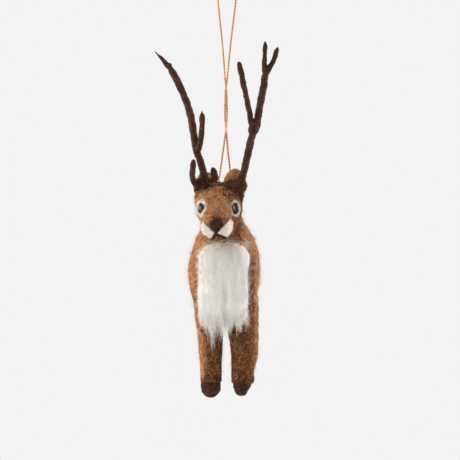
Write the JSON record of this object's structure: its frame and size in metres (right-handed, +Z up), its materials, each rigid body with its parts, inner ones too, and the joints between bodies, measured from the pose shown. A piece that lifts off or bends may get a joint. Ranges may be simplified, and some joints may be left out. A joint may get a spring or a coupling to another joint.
{
  "type": "felted reindeer ornament",
  "caption": "Needle-felted wool reindeer with bendable wool-wrapped wire antlers and a combed white chest, hung by a twisted loop of thread through its back.",
  "frame": {"origin": "the hanging point, inside the top of the thread's loop", "axes": "+Z up along the hanging thread, -Y towards the figure's front, +X to the figure's own left"},
  "size_m": [0.0621, 0.0872, 0.2123],
  "materials": {
    "caramel_wool": "needle-felted wool, matt and fuzzy",
    "dark_wool": "needle-felted and wrapped wool, matt",
    "white_wool": "combed wool fibres, matt",
    "tan_thread": "twisted thread, matt",
    "black_glass": "polished",
    "soft_iron": "annealed wire, under wool"
  },
  "bodies": {
    "hanging_loop": {"thread_loop": "tan_thread"},
    "thread_strands": {"thread_strand_left": "tan_thread", "thread_strand_right": "tan_thread"},
    "figure": {"torso": "caramel_wool", "head": "caramel_wool", "left_ear": "caramel_wool", "right_ear": "caramel_wool", "tail": "caramel_wool", "front_left_leg": "caramel_wool", "front_right_leg": "caramel_wool", "hind_left_leg": "caramel_wool", "hind_right_leg": "caramel_wool", "front_left_hoof": "dark_wool", "front_right_hoof": "dark_wool", "hind_left_hoof": "dark_wool", "hind_right_hoof": "dark_wool", "chest_ruff": "white_wool", "left_eye_patch": "white_wool", "right_eye_patch": "white_wool", "left_cheek": "white_wool", "right_cheek": "white_wool", "left_eye_bead": "black_glass", "right_eye_bead": "black_glass", "nose": "dark_wool", "mouth_line": "dark_wool", "left_antler_burr": "dark_wool", "right_antler_burr": "dark_wool", "right_brow_tine": "dark_wool", "right_back_tine": "dark_wool", "left_wire_anchor": "soft_iron", "right_wire_anchor": "soft_iron", "thread_stitch": "tan_thread"},
    "left_antler": {"left_lower_beam": "dark_wool", "left_joint_wrap": "dark_wool", "left_upper_beam": "dark_wool", "left_inner_tine": "dark_wool", "left_fork_inner": "dark_wool", "left_fork_outer": "dark_wool", "left_antler_wire": "soft_iron"},
    "right_antler": {"right_beam": "dark_wool", "right_tip": "dark_wool", "right_middle_tine": "dark_wool", "right_antler_wire": "soft_iron"}
  },
  "joints": [
    {"name": "loop_twist", "type": "hinge", "parent": "hanging_loop", "child": "thread_strands", "pos_m": [0, 0, -0.0696], "axis": [0, 0, 1], "range_deg": [-180, 180]},
    {"name": "stitch_nod", "type": "hinge", "parent": "thread_strands", "child": "figure", "pos_m": [0, 0, -0.1242], "axis": [1, 0, 0], "range_deg": [-10, 35]},
    {"name": "left_antler_bend", "type": "hinge", "parent": "figure", "child": "left_antler", "pos_m": [0.00923, -0.01825, -0.10524], "axis": [1, 0, 0], "range_deg": [-15, 15]},
    {"name": "right_antler_bend", "type": "hinge", "parent": "figure", "child": "right_antler", "pos_m": [-0.00881, -0.01825, -0.10491], "axis": [1, 0, 0], "range_deg": [-15, 15]}
  ]
}
